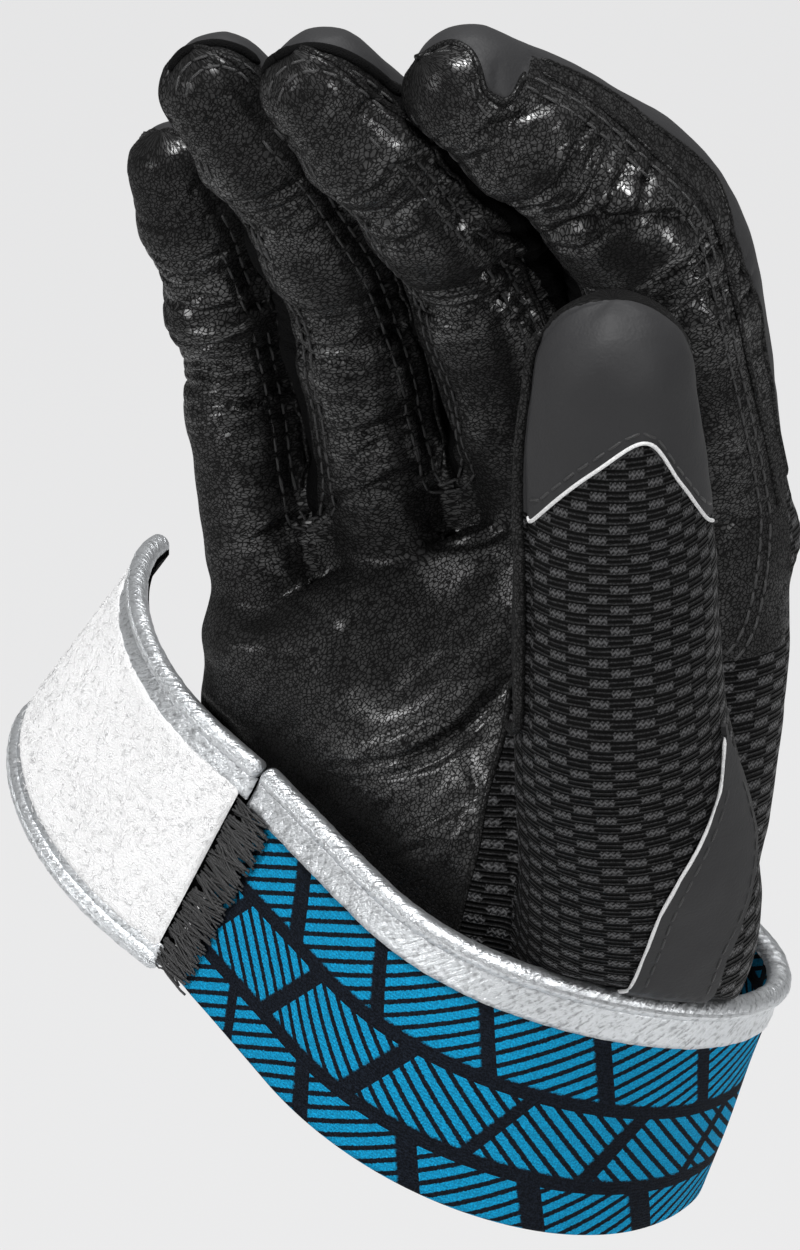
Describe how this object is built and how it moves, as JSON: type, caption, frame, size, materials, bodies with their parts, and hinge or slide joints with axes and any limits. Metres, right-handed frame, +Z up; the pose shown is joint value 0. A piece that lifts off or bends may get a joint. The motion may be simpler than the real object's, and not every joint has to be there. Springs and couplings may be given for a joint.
{
  "type": "batting glove",
  "caption": "Right-hand batting glove: leather palm, knitted back, fingers and thumb that flex, and a bound stretch cuff closed by a loop tab and a hook strap.",
  "frame": {"origin": "middle of the wrist opening, at the cuff's lower edge", "axes": "+Z up along the fingers, -Y the way the palm faces, +X towards the thumb's side"},
  "size_m": [0.1542, 0.1028, 0.203],
  "materials": {
    "leather": "pebbled black goatskin",
    "smooth_synthetic": "smooth matte dark grey synthetic",
    "knit": "black waffle knit",
    "stretch": "dark stretch cloth",
    "printed_band": "knitted band with a blue hatch print on charcoal",
    "silver": "crinkled metallic silver tape",
    "loop_white": "fuzzy white loop",
    "hook": "black hook tape",
    "thread": "dense black zigzag stitching",
    "rubber": "matte moulded rubber"
  },
  "bodies": {
    "hand": {"palm_leather": "leather", "index_side_leather": "leather", "wrist_side_knit": "knit", "hand_back_knit": "knit", "wrist_back_radial": "knit", "wrist_vent_gusset": "stretch", "wrist_back_ulnar": "knit", "knuckle_yoke": "smooth_synthetic", "knuckle_badge": "silver", "thenar_knit": "knit", "thumb_web_leather": "leather", "thumb_flash": "smooth_synthetic", "cuff_band": "printed_band", "cuff_top_binding": "silver", "zigzag_bartack": "thread"},
    "pinky": {"pinky_front": "leather", "pinky_back": "smooth_synthetic", "pinky_tip_cap": "smooth_synthetic", "pinky_wall_radial": "stretch"},
    "ring": {"ring_front": "leather", "ring_back": "smooth_synthetic", "ring_tip_cap": "smooth_synthetic", "ring_wall_ulnar": "stretch", "ring_wall_radial": "stretch"},
    "middle": {"middle_front": "leather", "middle_back": "smooth_synthetic", "middle_tip_cap": "smooth_synthetic", "middle_wall_ulnar": "stretch", "middle_wall_radial": "stretch"},
    "index": {"index_front": "leather", "index_back": "smooth_synthetic", "index_tip_cap": "smooth_synthetic", "index_wall_ulnar": "stretch"},
    "thumb": {"thumb_knit": "knit", "thumb_tip_cap": "smooth_synthetic", "thumb_front": "leather"},
    "loop_tab": {"loop_tab_base": "stretch", "loop_pad": "loop_white", "loop_tab_top_binding": "silver", "loop_tab_low_binding": "silver"},
    "closure": {"closure_strap": "printed_band", "hook_pad": "hook", "pull_tab": "rubber"}
  },
  "joints": [
    {"name": "index_flex", "type": "hinge", "parent": "hand", "child": "index", "pos_m": [0.04214, 0.01581, 0.104], "axis": [0.9839, 0.174, 0.042], "range_deg": [-8, 8]},
    {"name": "middle_flex", "type": "hinge", "parent": "hand", "child": "middle", "pos_m": [0.01597, 0.01309, 0.10244], "axis": [0.9841, 0.126, 0.125], "range_deg": [-8, 24]},
    {"name": "ring_flex", "type": "hinge", "parent": "hand", "child": "ring", "pos_m": [-0.00813, 0.0085, 0.0936], "axis": [0.9838, 0.173, 0.048], "range_deg": [-12, 27]},
    {"name": "pinky_flex", "type": "hinge", "parent": "hand", "child": "pinky", "pos_m": [-0.02881, 0.00221, 0.08382], "axis": [0.9761, 0.186, 0.112], "range_deg": [-12, 35]},
    {"name": "thumb_flex", "type": "hinge", "parent": "hand", "child": "thumb", "pos_m": [0.04828, -0.02247, 0.08036], "axis": [-0.8754, -0.4792, -0.063], "range_deg": [-20, 4]},
    {"name": "loop_tab_swing", "type": "hinge", "parent": "hand", "child": "loop_tab", "pos_m": [-0.02825, -0.01428, 0.03603], "axis": [0.4557, 0.0719, 0.8872], "range_deg": [-7, 25]},
    {"name": "closure_swing", "type": "hinge", "parent": "hand", "child": "closure", "pos_m": [0.01033, 0.03495, 0.01721], "axis": [0.4384, 0, 0.8988], "range_deg": [-80, 20]}
  ]
}
